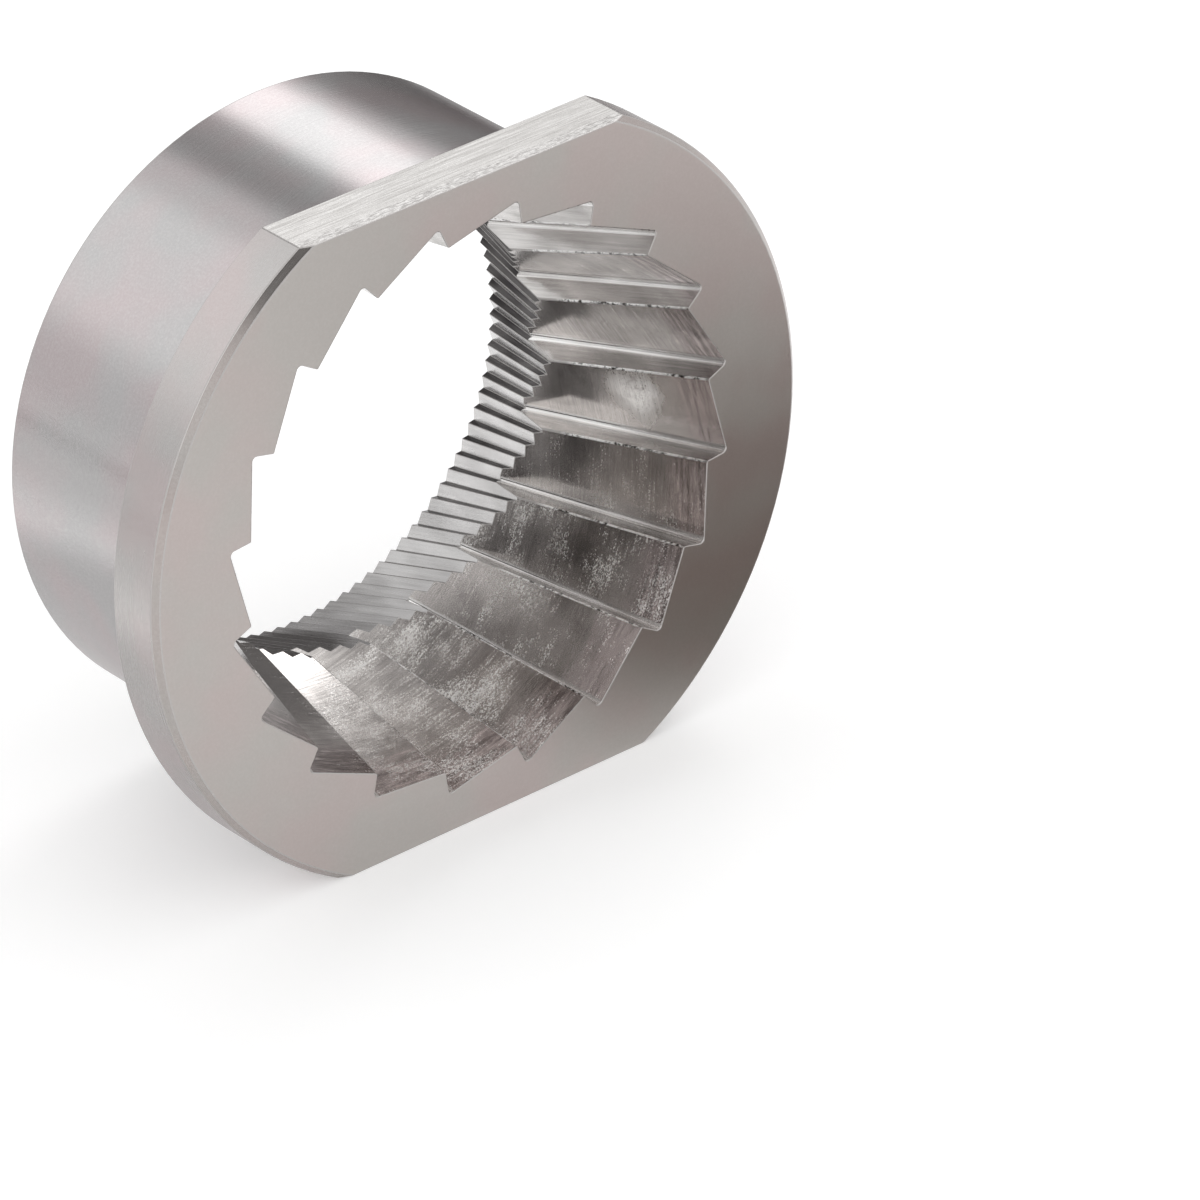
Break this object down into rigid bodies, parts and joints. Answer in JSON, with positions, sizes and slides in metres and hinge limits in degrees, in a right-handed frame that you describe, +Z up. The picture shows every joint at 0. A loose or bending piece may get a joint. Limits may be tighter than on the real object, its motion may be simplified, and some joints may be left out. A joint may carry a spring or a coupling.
{
  "type": "coffee grinder burr",
  "caption": "Outer ring burr of a conical coffee grinder: a flange with two flats, a plain spigot, and a bore of slanted coarse and fine teeth.",
  "frame": {"origin": "on the ring's axis, in the plane of the flange's seat, where the spigot begins", "axes": "+Y along the ring's axis from the mouth to the exit; +Z up, square to the two flats, the ring standing on the lower flat; +X to the right as seen from the mouth"},
  "size_m": [0.058, 0.0236, 0.0504],
  "materials": {
    "burr_steel": "hardened stainless steel, turned and milled, with fine machining marks and burnished crests"
  },
  "bodies": {
    "root": {"ring_burr": "burr_steel"}
  },
  "joints": []
}
